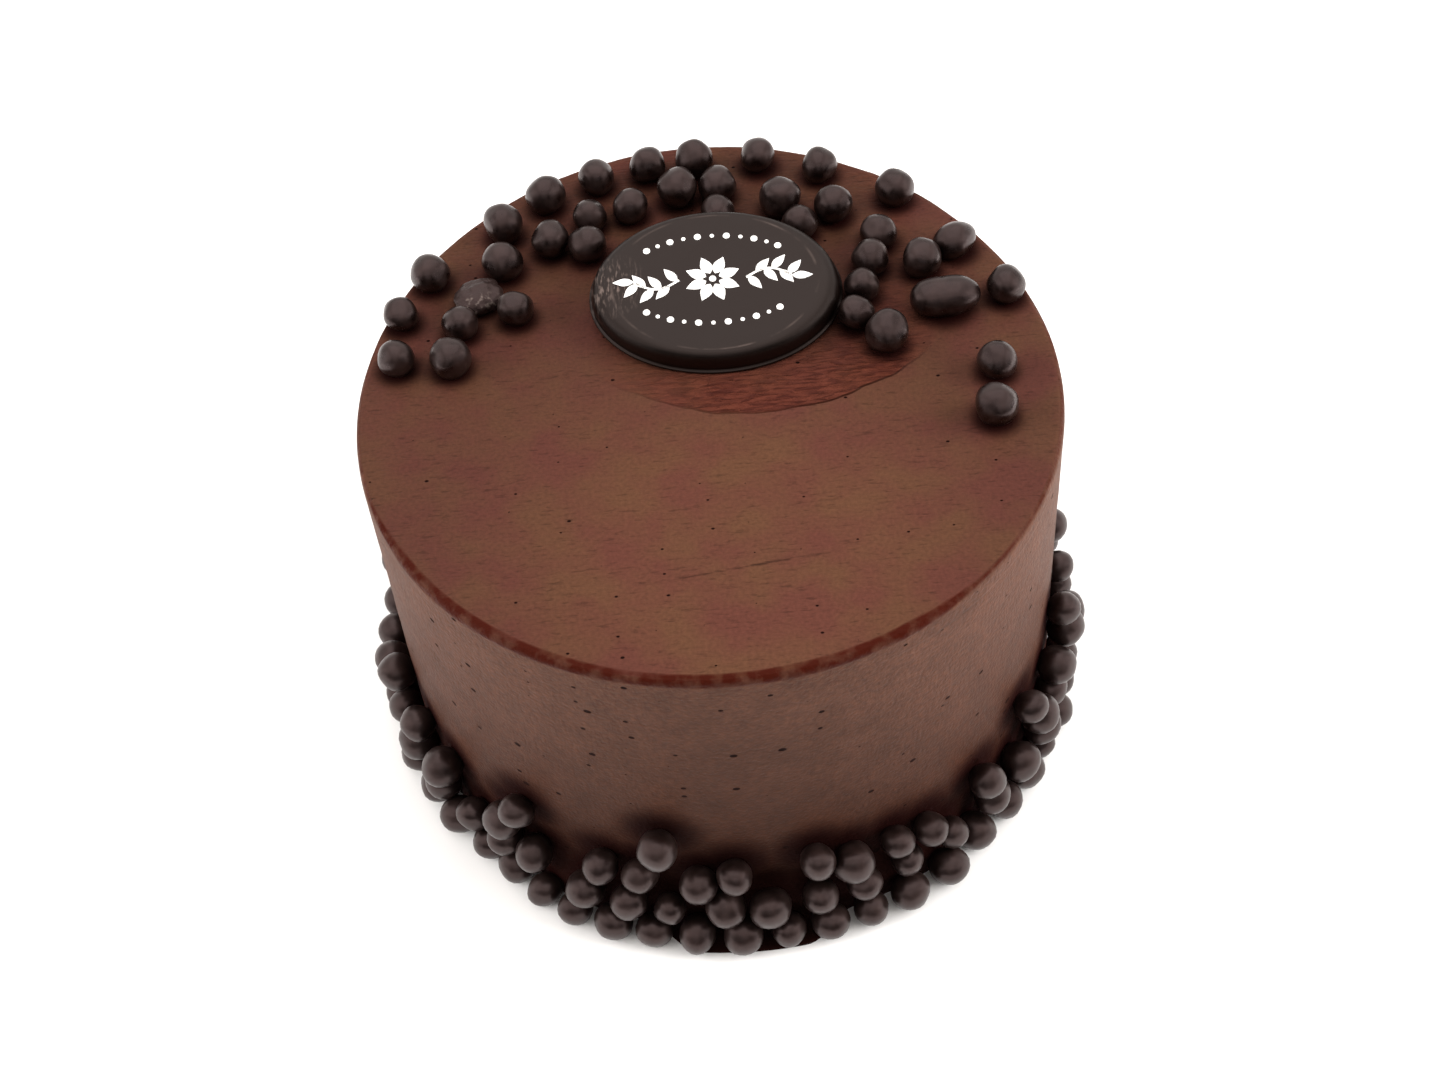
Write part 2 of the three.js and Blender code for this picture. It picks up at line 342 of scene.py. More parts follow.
relief = add(spread, "ShaderNodeMath", {0: swell, 1: streak}, operation="ADD")
relief = add(spread, "ShaderNodeMath", {0: relief, 1: waver}, operation="ADD")
push = add(spread, "ShaderNodeVectorMath", {0: facing, "Scale": relief}, operation="SCALE")
rise = add(spread, "ShaderNodeSeparateXYZ", {0: place}).outputs["Z"]
above_table = add(spread, "ShaderNodeMath", {0: rise, 1: FLAT_FOOT}, operation="GREATER_THAN")
moved = add(spread, "GeometryNodeSetPosition", {
    "Geometry": given["Cream"], "Selection": above_table, "Offset": push,
})
painted = add(spread, "GeometryNodeSetMaterial", {0: moved, "Material": given["Material"]})
add(spread, "NodeGroupOutput", {0: painted})


def worked(piece, tree, inputs):
    """Runs a Geometry Nodes tree on a piece and leaves the result as its plain mesh."""
    modifier = piece.modifiers.new(tree.name, "NODES")
    modifier.node_group = tree
    for socket in tree.interface.items_tree:
        if socket.in_out == "INPUT" and socket.name in inputs:
            modifier[socket.identifier] = inputs[socket.name]
    depsgraph = bpy.context.evaluated_depsgraph_get()
    mesh = bpy.data.meshes.new_from_object(piece.evaluated_get(depsgraph))
    piece.modifiers.remove(modifier)
    piece.data = mesh
    mesh.name = piece.name


# Whipped chocolate ganache: tiny air bubbles and fat make it satin, pale and grainy where it was
# left open, with a faint haze seen edge on, and dark and redder along its top edge, where it was
# pressed dense and where painted shade stands for the rounded edge that shows no sheen. Painted
# shade also darkens it near the pearls, low on the wall, towards the back of the top, in the
# smear's creases and in its pits.
TOP_REDDISH, TOP_YELLOWISH = "#512e25", "#523525"
WALL_PALE, WALL_DEEP = "#56382b", "#482e24"
# Dark and redder along the top edge: partly pressed cream, partly painted shade.
PRESSED_AND_SHADED_COLOUR = "#350c03"
# The smear's colour, and the painted shade in the hollows of its creases.
PATCH_COLOUR, CREASE_SHADE_COLOUR = "#55281d", "#37130e"
# Painted shade near the pearls and low down among them, with the fat soaked in: its colour, and
# where low down it begins, is full, and how strong it gets.
SOAKED_AND_SHADED_COLOUR = "#190605"
CROWDED_SHADE_FROM, CROWDED_SHADE_BELOW, CROWDED_SHADE_MOST = 21 * MM, 7 * MM, 0.9
# Painted shade inside the pits. The thin dark lines at the smear's edge and of the knife's mark
# take the same colour.
PIT_SHADE_AND_LINE_COLOUR = "#140604"
# Painted shade low on the wall, where the pearls round the foot take the light: its colour, and
# the heights where it is full and where it ends.
PAINTED_FOOT_SHADE, FOOT_SHADE_FULL, FOOT_SHADE_END = "#9d826f", 12 * MM, 80 * MM
# The top is painted darker and greyer away from its front middle, as painted shade with a grey
# painted sheen: that middle, where the change begins and where it is full, and the colour.
PALE_CENTRE, PALE_REACH = (5 * MM, -45 * MM, CAKE_HEIGHT), (25 * MM, 64 * MM)
BACK_PAINTED_SHADE_AND_SHEEN = "#e6e3eb"
GANACHE_GLINT = "#ffe6da"
MOTTLE, WALL_BLOTCH = 13 * MM, 7 * MM
GRAIN = 0.8 * MM
SPECKLE = (1.5 * MM, 1.5 * MM, 0.9 * MM)
SCRATCH = (2.6 * MM, 0.6 * MM, 2.6 * MM)
PIT_SPACING, PITLESS_SHARE = 6.5 * MM, 0.45
TOP_PIT, WALL_PIT = 0.32 * MM, 0.62 * MM
PIT_STRETCH, PIT_SOFT = 1.5, 0.3


def drawn_out(tree, where, sizes, detail, distortion=0.0):
    """A noise that is wider one way than another: its size along each axis."""
    place = add(tree, "ShaderNodeMapping", {"Vector": where, "Scale": [1 / s for s in sizes]})
    return add(tree, "ShaderNodeTexNoise", {
        "Vector": place, "Scale": 1.0, "Detail": detail, "Distortion": distortion,
    })


ganache, tree, shader = new_material("whipped_chocolate_ganache")
where = add(tree, "ShaderNodeTexCoord").outputs["Object"]
top_share = add(tree, "ShaderNodeAttribute", attribute_name="on_top").outputs["Fac"]
edge_share = add(tree, "ShaderNodeAttribute", attribute_name="pressed").outputs["Fac"]

# Redder and yellower blotches on top, as wide as a fingertip, and fine level speckle on the wall.
# A mix of colours takes them at its inputs 6 and 7, and gives the result at its output 2.
mottle = add(
    tree, "ShaderNodeTexNoise", {"Vector": where, "Scale": 1 / MOTTLE, "Detail": 3.0})
mottle = add(tree, "ShaderNodeMapRange", {0: mottle, 1: 0.36, 2: 0.64})
top_colour = add(tree, "ShaderNodeMix", {
    "Factor": mottle, 6: linear(TOP_REDDISH), 7: linear(TOP_YELLOWISH),
}, data_type="RGBA")
speckle = drawn_out(tree, where, SPECKLE, 5.0)
speckle_share = add(tree, "ShaderNodeMapRange", {0: speckle, 1: 0.34, 2: 0.66})
wall_colour = add(tree, "ShaderNodeMix", {
    "Factor": speckle_share, 6: linear(WALL_DEEP), 7: linear(WALL_PALE),
}, data_type="RGBA")
axes = add(tree, "ShaderNodeSeparateXYZ", {0: where})
x, y, z = axes.outputs
# The wall is painted darker towards the foot: painted shade, where the pearls round it take the
# light.
low = add(tree, "ShaderNodeMapRange", {0: z, 1: FOOT_SHADE_END, 2: FOOT_SHADE_FULL})
wall_colour = add(tree, "ShaderNodeMix", {
    "Factor": low, 6: wall_colour, 7: linear(PAINTED_FOOT_SHADE),
}, data_type="RGBA", blend_type="MULTIPLY")
blotch = add(
    tree, "ShaderNodeTexNoise", {"Vector": where, "Scale": 1 / WALL_BLOTCH, "Detail": 2.0})
blotch = add(tree, "ShaderNodeMapRange", {0: blotch, 1: 0.3, 2: 0.7, 3: 0.88, 4: 1.12})
wall_colour = add(tree, "ShaderNodeMix", {
    "Factor": 1.0, 6: wall_colour, 7: blotch,
}, data_type="RGBA", blend_type="MULTIPLY")
# Painted shade and a grey painted sheen: the top darkens and greys away from its front middle.
from_pale = add(tree, "ShaderNodeVectorMath", {0: where, 1: PALE_CENTRE}, operation="DISTANCE")
behind = add(tree, "ShaderNodeMapRange", {
    0: from_pale.outputs["Value"], 1: PALE_REACH[0], 2: PALE_REACH[1],
})
top_colour = add(tree, "ShaderNodeMix", {
    "Factor": behind, 6: top_colour, 7: linear(BACK_PAINTED_SHADE_AND_SHEEN),
}, data_type="RGBA", blend_type="MULTIPLY")
colour = add(tree, "ShaderNodeMix", {
    "Factor": top_share, 6: wall_colour, 7: top_colour,
}, data_type="RGBA")

# The fine grain of the air bubbles, and short level scratches on top.
grain = add(tree, "ShaderNodeTexNoise", {"Vector": where, "Scale": 1 / GRAIN, "Detail": 3.0})
shade = add(tree, "ShaderNodeMapRange", {0: grain, 1: 0.3, 2: 0.7, 3: 0.86, 4: 1.14})
colour = add(tree, "ShaderNodeMix", {
    "Factor": 1.0, 6: colour, 7: shade,
}, data_type="RGBA", blend_type="MULTIPLY")
scratch = drawn_out(tree, where, SCRATCH, 2.0)
scratched = add(tree, "ShaderNodeMapRange", {0: scratch, 1: 0.42, 2: 0.26, 3: 1.0, 4: 0.68})
colour = add(tree, "ShaderNodeMix", {
    "Factor": top_share, 6: colour, 7: scratched,
}, data_type="RGBA", blend_type="MULTIPLY")

# In front of the plaque a smear of redder, crinkled cream ends in a fine curved edge. Each pair
# of places is where the smear, or the line at its edge, begins and where it is at its full.
PATCH_CENTRE, PATCH_RADIUS = (12 * MM, 44 * MM, CAKE_HEIGHT), 51.5 * MM
PATCH_WAVER, PATCH_WAVE = 5 * MM, 18 * MM
PATCH_SOFT = 0.3 * MM
PATCH_INSIDE = (-26 * MM, -4 * MM)  # measured from its edge, inwards
PATCH_LEFT, PATCH_RIGHT = (-26 * MM, 2 * MM), (50 * MM, 40 * MM)
EDGE_LINE_LEFT, EDGE_LINE_SIDE = (12 * MM, 26 * MM), (0.3 * MM, 0.1 * MM)
CRINKLE = (4.0 * MM, 0.9 * MM, 4 * MM)
from_patch = add(tree, "ShaderNodeVectorMath", {0: where, 1: PATCH_CENTRE}, operation="DISTANCE")
patch_edge = add(tree, "ShaderNodeTexNoise", {
    "Vector": where, "Scale": 1 / PATCH_WAVE, "Detail": 2.0,
})
patch_edge = add(tree, "ShaderNodeMapRange", {
    0: patch_edge, 3: PATCH_RADIUS - PATCH_WAVER / 2, 4: PATCH_RADIUS + PATCH_WAVER / 2,
})
past_edge = add(tree, "ShaderNodeMath", {
    0: from_patch.outputs["Value"], 1: patch_edge,
}, operation="SUBTRACT")
in_patch = add(tree, "ShaderNodeMapRange", {0: past_edge, 1: PATCH_SOFT, 2: -PATCH_SOFT})
near_edge = add(tree, "ShaderNodeMapRange", {0: past_edge, 1: PATCH_INSIDE[0], 2: PATCH_INSIDE[1]})
left_fade = add(tree, "ShaderNodeMapRange", {0: x, 1: PATCH_LEFT[0], 2: PATCH_LEFT[1]})
right_fade = add(tree, "ShaderNodeMapRange", {0: x, 1: PATCH_RIGHT[0], 2: PATCH_RIGHT[1]})
for share in (top_share, near_edge, left_fade, right_fade):
    in_patch = add(tree, "ShaderNodeMath", {0: in_patch, 1: share}, operation="MULTIPLY")
crinkle = drawn_out(tree, where, CRINKLE, 3.0, 0.6)
# The hollows of the crinkles are painted darker: painted shade.
crease_shade = add(tree, "ShaderNodeMapRange", {0: crinkle, 1: 0.58, 2: 0.38})
crinkle = add(tree, "ShaderNodeMath", {0: crinkle, 1: in_patch}, operation="MULTIPLY")
patch_colour = add(tree, "ShaderNodeMix", {
    "Factor": crease_shade, 6: linear(PATCH_COLOUR), 7: linear(CREASE_SHADE_COLOUR),
}, data_type="RGBA")
patchy = add(tree, "ShaderNodeMath", {0: in_patch, 1: 0.75}, operation="MULTIPLY")
colour = add(tree, "ShaderNodeMix", {
    "Factor": patchy, 6: colour, 7: patch_colour,
}, data_type="RGBA")

on_edge = add(tree, "ShaderNodeMath", {0: past_edge}, operation="ABSOLUTE")
on_edge = add(tree, "ShaderNodeMapRange", {0: on_edge, 1: EDGE_LINE_SIDE[0], 2: EDGE_LINE_SIDE[1]})
line_start = add(tree, "ShaderNodeMapRange", {
    0: x, 1: EDGE_LINE_LEFT[0], 2: EDGE_LINE_LEFT[1], 4: 0.55,
})
for share in (line_start, right_fade, top_share):
    on_edge = add(tree, "ShaderNodeMath", {0: on_edge, 1: share}, operation="MULTIPLY")

# Where the knife left the front of the top: one faint, broken, nearly level line.
MARK_FRONT, MARK_SLOPE = -47.5 * MM, 0.11
MARK_LEFT, MARK_RIGHT, MARK_SIDE = (-16 * MM, -6 * MM), (24 * MM, 14 * MM), (0.5 * MM, 0.1 * MM)
mark = add(tree, "ShaderNodeMath", {0: x, 1: -MARK_SLOPE, 2: y}, operation="MULTIPLY_ADD")
mark = add(tree, "ShaderNodeMath", {0: mark, 1: MARK_FRONT}, operation="SUBTRACT")
mark = add(tree, "ShaderNodeMath", {0: mark}, operation="ABSOLUTE")
mark = add(tree, "ShaderNodeMapRange", {0: mark, 1: MARK_SIDE[0], 2: MARK_SIDE[1], 4: 0.6})
mark_left = add(tree, "ShaderNodeMapRange", {0: x, 1: MARK_LEFT[0], 2: MARK_LEFT[1]})
mark_right = add(tree, "ShaderNodeMapRange", {0: x, 1: MARK_RIGHT[0], 2: MARK_RIGHT[1]})
broken = add(tree, "ShaderNodeMapRange", {0: scratch, 1: 0.62, 2: 0.42})
for share in (mark_left, mark_right, broken, top_share):
    mark = add(tree, "ShaderNodeMath", {0: mark, 1: share}, operation="MULTIPLY")

# The dark band, pressed cream and painted shade, is a little ragged.
RAGGED = 3 * MM
ragged = add(tree, "ShaderNodeTexNoise", {"Vector": where, "Scale": 1 / RAGGED, "Detail": 3.0})
ragged = add(tree, "ShaderNodeMapRange", {0: ragged, 1: 0.32, 2: 0.62, 3: 0.45, 4: 1.2})
band = add(tree, "ShaderNodeMath", {
    0: edge_share, 1: ragged,
}, operation="MULTIPLY", use_clamp=True)

# Cream near a pearl is painted dark: partly soaked with the fat of its coat, partly painted shade
# where the pearl shades it. Low down, where the pearls crowd, it is painted darker still as
# painted shade, since hardly any light gets between them.
soaked_and_shaded = add(tree, "ShaderNodeAttribute", attribute_name="near_pearl").outputs["Fac"]
crowded = add(tree, "ShaderNodeMapRange", {
    0: z, 1: CROWDED_SHADE_FROM, 2: CROWDED_SHADE_BELOW, 4: CROWDED_SHADE_MOST,
})
soaked_and_shaded = add(tree, "ShaderNodeMath", {0: soaked_and_shaded, 1: crowded}, operation="MAXIMUM")

# Burst bubbles, dragged into short level slits by the knife.
toward_front = add(tree, "ShaderNodeMath", {0: y, 1: -1.0}, operation="MULTIPLY")
around = add(tree, "ShaderNodeMath", {0: x, 1: toward_front}, operation="ARCTAN2")
around = add(tree, "ShaderNodeMath", {0: around, 1: BASE_RADIUS}, operation="MULTIPLY")
on_wall = add(tree, "ShaderNodeCombineXYZ", {0: around, 1: z})
on_face = add(tree, "ShaderNodeCombineXYZ", {0: x, 1: y})
pit_place = add(tree, "ShaderNodeMix", {
    "Factor": top_share, 4: on_wall, 5: on_face,
}, data_type="VECTOR")
pit_place = add(tree, "ShaderNodeMapping", {
    "Vector": pit_place, "Scale": (1 / PIT_STRETCH, 1, 1),
})
pits = add(tree, "ShaderNodeTexVoronoi", {
    "Vector": pit_place, "Scale": 1 / PIT_SPACING,
}, voronoi_dimensions="2D")
chance = add(tree, "ShaderNodeSeparateColor", {0: pits.outputs["Color"]})
largest_pit = add(tree, "ShaderNodeMapRange", {
    0: top_share, 3: WALL_PIT / PIT_SPACING, 4: TOP_PIT / PIT_SPACING,
})
pit_size = add(tree, "ShaderNodeMapRange", {
    0: chance, 1: PITLESS_SHARE, 2: 1.0, 3: 0.0, 4: largest_pit,
})
# Inside each pit the cream is painted near black: painted shade in the hole.
in_pit = add(tree, "ShaderNodeMath", {0: pit_size, 1: pits}, operation="SUBTRACT")
in_pit = add(tree, "ShaderNodeMapRange", {0: in_pit, 1: 0.0, 2: PIT_SOFT * TOP_PIT / PIT_SPACING})
off_edge = add(tree, "ShaderNodeMath", {0: 1.0, 1: edge_share}, operation="SUBTRACT")
in_pit = add(tree, "ShaderNodeMath", {0: in_pit, 1: off_edge}, operation="MULTIPLY")

# The darker colours, laid over the cream one after the other. The pit colour is painted shade, and
# the soaked and band colours are partly painted shade.
for share, darker in (
    (on_edge, PIT_SHADE_AND_LINE_COLOUR), (mark, PIT_SHADE_AND_LINE_COLOUR), (band, PRESSED_AND_SHADED_COLOUR), (soaked_and_shaded, SOAKED_AND_SHADED_COLOUR),
    (in_pit, PIT_SHADE_AND_LINE_COLOUR),
):
    colour = add(tree, "ShaderNodeMix", {
        "Factor": share, 6: colour, 7: linear(darker),
    }, data_type="RGBA")

# A step a little below the edge, at the right, where the knife was lifted.
RIDGE_HEIGHT, RIDGE_SLOPE = 84.5 * MM, 0.035
RIDGE_SOFT, RIDGE_LEFT = 0.25 * MM, (28 * MM, 42 * MM)
ridge_rise = add(tree, "ShaderNodeMath", {
    0: around, 1: RIDGE_SLOPE, 2: RIDGE_HEIGHT,
}, operation="MULTIPLY_ADD")
ridge = add(tree, "ShaderNodeMath", {0: z, 1: ridge_rise}, operation="SUBTRACT")
ridge = add(tree, "ShaderNodeMapRange", {0: ridge, 1: -RIDGE_SOFT, 2: RIDGE_SOFT})
ridge_fade = add(tree, "ShaderNodeMapRange", {0: around, 1: RIDGE_LEFT[0], 2: RIDGE_LEFT[1]})
ridge = add(tree, "ShaderNodeMath", {0: ridge, 1: ridge_fade}, operation="MULTIPLY")

# Relief too fine for the mesh, added up in millimetres.
wall_share = add(tree, "ShaderNodeMath", {0: 1.0, 1: top_share}, operation="SUBTRACT")
rough_grain = add(tree, "ShaderNodeMapRange", {0: wall_share, 3: 0.05, 4: 0.22})
height = add(tree, "ShaderNodeMath", {0: grain, 1: rough_grain}, operation="MULTIPLY")
for layer, depth in (
    (scratch, 0.14), (speckle, 0.07), (crinkle, 1.3), (in_patch, 0.25), (ridge, 0.22),
    (in_pit, -0.3),
):
    height = add(tree, "ShaderNodeMath", {
        0: layer, 1: depth, 2: height,
    }, operation="MULTIPLY_ADD")
bump = add(tree, "ShaderNodeBump", {"Strength": 1.0, "Distance": MM, "Height": height})
gloss = add(tree, "ShaderNodeMapRange", {0: grain, 1: 0.3, 2: 0.7, 3: 0.50, 4: 0.62})
dull = add(tree, "ShaderNodeMath", {0: soaked_and_shaded, 1: in_pit}, operation="MAXIMUM")
gloss = add(tree, "ShaderNodeMath", {
    0: dull, 1: 0.35, 2: gloss,
}, operation="MULTIPLY_ADD", use_clamp=True)
fill(tree, shader, {
    "Base Color": colour, "Roughness": gloss, "Normal": bump, "IOR": 1.42,
    "Specular IOR Level": 0.12, "Specular Tint": linear(GANACHE_GLINT),
})

worked(coat, spread, {
    "Swell Height": 0.5 * MM, "Swell Width": 26 * MM,
    "Streak Height": 0.16 * MM, "Streak Width": 3.2 * MM, "Streak Length": 30 * MM,
    "Edge Waver": 0.9 * MM, "Edge Wave Length": 9 * MM,
    "Material": ganache,
})
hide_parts("cake")
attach(coat, "root")

# ------------------------------------------------------------------ the pearls on top
# Crisp cereal pearls, rolled in dark chocolate in a turning pan and polished, so each is a little
# lumpy. They were dropped by hand round the back of the top and sank slightly into the cream.
TOP_PEARL, TOP_UNEVEN = 8.5 * MM, 0.1
TOP_SUNK = 0.6 * MM
PEARL_CLEAR, PUSH_ROUNDS = 0.15 * MM, 60
TOP_SCATTER = 1.8 * MM
TOP_SEED = 12770
DRAW_FACTOR, DRAW_RANGE = 16807, 2147483647
# Arcs round the back: radius, first and last angle from the back to the right, and how many.
TOP_ARCS = (
    (68, -80, -57, 3),
    (67, -40, 12, 6),
    (67, 26, 74, 4),
    (61, 91, 104, 2),
    (56, -80, 7, 9),
    (55, 21, 72, 5),
    (46.5, -57, -31, 2),
    (47, 6, 52, 3),
    (38, 53, 77, 3),
)
# The odd pieces among them, by arc and place: their length.
ODD_LENGTHS = {(2, 2): 10.2 * MM, (4, 2): 10.6 * MM, (5, 4): 15.2 * MM}
PLAQUE_LENGTH, PLAQUE_WIDTH, PLAQUE_THICK = 54.6 * MM, 41 * MM, 5 * MM
PLAQUE_FRONT = Vector((3.4, 3.5, 92.3)) * MM
PLAQUE_GAP = 0.3 * MM
PLAQUE_TILT = math.radians(7)
PLAQUE_TURN = math.radians(-2.7)


def drawer(seed):
    """A repeatable draw between 0 and 1, the same one that placed the pearls in the solid."""
    state = seed

    def draw():
        nonlocal state
        state = state * DRAW_FACTOR % DRAW_RANGE
        return (state - 1) / (DRAW_RANGE - 1)

    return draw


def clear_of_plaque(pearl):
    reach = pearl["radius"] + PLAQUE_GAP
    half_x = PLAQUE_LENGTH / 2 + reach
    half_y = PLAQUE_WIDTH / 2 * math.cos(PLAQUE_TILT) + reach
    centre = Vector((PLAQUE_FRONT.x, PLAQUE_FRONT.y + half_y - reach))
    across = (pearl["x"] - centre.x) / half_x
    deep = (pearl["y"] - centre.y) / half_y
    inside = math.hypot(across, deep)
    if inside < 1:
        pearl["x"] = centre.x + across / inside * half_x
        pearl["y"] = centre.y + deep / inside * half_y


def push_apart(pearls):
    for _ in range(PUSH_ROUNDS):
        for i, a in enumerate(pearls):
            for b in pearls[i + 1 :]:
                dx, dy = b["x"] - a["x"], b["y"] - a["y"]
                apart = math.hypot(dx, dy)
                overlap = a["radius"] + b["radius"] + PEARL_CLEAR - apart
                if overlap > 0:
                    for pearl, share in ((a, -0.5), (b, 0.5)):
                        pearl["x"] += dx / apart * overlap * share
                        pearl["y"] += dy / apart * overlap * share
        for pearl in pearls:
            clear_of_plaque(pearl)


draw = drawer(TOP_SEED)
top_pearls = []
for arc, (radius, first, final, count) in enumerate(TOP_ARCS):
    for i in range(count):
        along = math.radians(first + (final - first) * i / (count - 1))
        out = radius * MM + TOP_SCATTER * (2 * draw() - 1)
        turn = along + TOP_SCATTER * (2 * draw() - 1) / out
        size = TOP_PEARL * (1 + TOP_UNEVEN * (2 * draw() - 1))
        length = ODD_LENGTHS.get((arc, i), size)
        top_pearls.append({
            "x": out * math.sin(turn), "y": out * math.cos(turn), "radius": length / 2,
            "odd": (arc, i) if (arc, i) in ODD_LENGTHS else None,
        })
push_apart(top_pearls)

# Each pearl starts as a ball on a point, stretched and turned by chance, and is then pressed
# in and out by a noise about half as wide as the pearl.
panned, given = new_geometry_tree("panned_pearls", "Pearls", {
    "Places": "Geometry", "Roundness": "Int", "Least Stretch": "Float", "Most Stretch": "Float",
    "Bump Height": "Float", "Bump Width": "Float", "Seed": "Int", "Material": "Material",
})
ball = add(panned, "GeometryNodeMeshIcoSphere", {
    "Radius": 1.0, "Subdivisions": given["Roundness"],
})
radius_read = add(panned, "GeometryNodeInputNamedAttribute", {"Name": "radius"})
least = add(panned, "ShaderNodeCombineXYZ", {axis: given["Least Stretch"] for axis in range(3)})
most = add(panned, "ShaderNodeCombineXYZ", {axis: given["Most Stretch"] for axis in range(3)})
stretch = add(panned, "FunctionNodeRandomValue", {
    0: least, 1: most, "Seed": given["Seed"],
}, data_type="FLOAT_VECTOR")
stretch = add(panned, "ShaderNodeVectorMath", {
    0: stretch, "Scale": radius_read,
}, operation="SCALE")
other_seed = add(panned, "ShaderNodeMath", {0: given["Seed"], 1: 1.0}, operation="ADD")
turn = add(panned, "FunctionNodeRandomValue", {
    0: (0, 0, 0), 1: (math.tau, math.tau, math.tau), "Seed": other_seed,
}, data_type="FLOAT_VECTOR")
turn = add(panned, "FunctionNodeEulerToRotation", {0: turn})
balls = add(panned, "GeometryNodeInstanceOnPoints", {
    "Points": given["Places"], "Instance": ball, "Rotation": turn, "Scale": stretch,
})
balls = add(panned, "GeometryNodeRealizeInstances", {0: balls})
place = add(panned, "GeometryNodeInputPosition")
facing = add(panned, "GeometryNodeInputNormal")
lumps = add(panned, "ShaderNodeMath", {0: 1.0, 1: given["Bump Width"]}, operation="DIVIDE")
lumps = add(panned, "ShaderNodeTexNoise", {"Vector": place, "Scale": lumps, "Detail": 0.0})
lumps = ups_and_downs(panned, lumps, given["Bump Height"])
push = add(panned, "ShaderNodeVectorMath", {0: facing, "Scale": lumps}, operation="SCALE")
moved = add(panned, "GeometryNodeSetPosition", {0: balls, "Offset": push})
smooth = add(panned, "GeometryNodeSetShadeSmooth", {0: moved})
painted = add(panned, "GeometryNodeSetMaterial", {0: smooth, "Material": given["Material"]})
add(panned, "NodeGroupOutput", {0: painted})

# Panned dark chocolate: polished to a satin that mirrors the room softly, nearly black where it
# mirrors the cream, with shallow dimples and a faint dusty bloom, thicker at the foot, where the
# pearls were handled more.
PEARL_DARK, PEARL_BLOOM, PEARL_GLINT = "#0a0504", "#1f1614", "#ffdedc"
PEARL_CLOUD, DIMPLE = 3 * MM, 3 * MM
pearl_chocolate, tree, shader = new_material("panned_dark_chocolate")
where = add(tree, "ShaderNodeTexCoord").outputs["Object"]
bloom = add(tree, "ShaderNodeTexNoise", {"Vector": where, "Scale": 1 / PEARL_CLOUD, "Detail": 4.0})
bloom = add(tree, "ShaderNodeMapRange", {0: bloom, 1: 0.4, 2: 0.7})
height = add(tree, "ShaderNodeSeparateXYZ", {0: where})
low_haze = add(tree, "ShaderNodeMapRange", {
    0: height.outputs["Z"], 1: CAKE_HEIGHT, 2: CAKE_HEIGHT / 2, 4: 0.35,
})
bloom = add(tree, "ShaderNodeMath", {0: bloom, 1: low_haze}, operation="ADD", use_clamp=True)
colour = add(tree, "ShaderNodeMix", {
    "Factor": bloom, 6: linear(PEARL_DARK), 7: linear(PEARL_BLOOM),
}, data_type="RGBA")
gloss = add(tree, "ShaderNodeMapRange", {0: bloom, 3: 0.27, 4: 0.38})
dimples = add(tree, "ShaderNodeTexNoise", {"Vector": where, "Scale": 1 / DIMPLE, "Detail": 1.0})
bump = add(tree, "ShaderNodeBump", {"Strength": 0.25, "Distance": 0.5 * MM, "Height": dimples})
fill(tree, shader, {
    "Base Color": colour, "Roughness": gloss, "Normal": bump, "IOR": 1.53,
    "Specular Tint": linear(PEARL_GLINT),
})


def pearl_places(name, pearls):
    """The pearls' centres as loose points that carry their radius."""
    places = new_piece(name, [pearl["at"] for pearl in pearls], [])
    mark_points(places, "radius", [pearl["radius"] for pearl in pearls])
    return places


for pearl in top_pearls:
    pearl["at"] = (pearl["x"], pearl["y"], CAKE_HEIGHT + pearl["radius"] - TOP_SUNK)
scattered = pearl_places("top_pearls", [p for p in top_pearls if p["odd"] is None])
worked(scattered, panned, {
    "Roundness": 4, "Least Stretch": 0.955, "Most Stretch": 1.03,
    "Bump Height": 1.1 * MM, "Bump Width": 4.6 * MM, "Seed": 4, "Material": pearl_chocolate,
})
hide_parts("cake")
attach(scattered, "root")

# ------------------------------------------------------------------ the odd pieces on top
# Three that came out of the pan another shape: one like an egg, two pearls coated as one, and
# a crushed one that shows a broken edge.
EGG = {
    "at": (2, 2), "width": 7.8 * MM, "height": 7.6 * MM, "bearing": 55,
    "waist": 0.0, "taper": 0.16, "blunt": 1.0, "lump_height": 0.3 * MM, "lump_width": 4 * MM,
}
TWIN = {
    "at": (5, 4), "width": 9.2 * MM, "height": 8.6 * MM, "bearing": 85,
    "waist": 0.05, "taper": 0.09, "blunt": 0.78, "lump_height": 0.35 * MM, "lump_width": 5 * MM,
}
CRUMB = {
    "at": (4, 2), "width": 9.4 * MM, "height": 5.4 * MM, "bearing": 70,
    "waist": 0.0, "taper": 0.0, "blunt": 0.9, "lump_height": 0.45 * MM, "lump_width": 1.6 * MM,
}
WAIST_REACH = 0.3  # along the piece, as a share of half its length
ODD_SIDES, ODD_ROWS = 48, 32


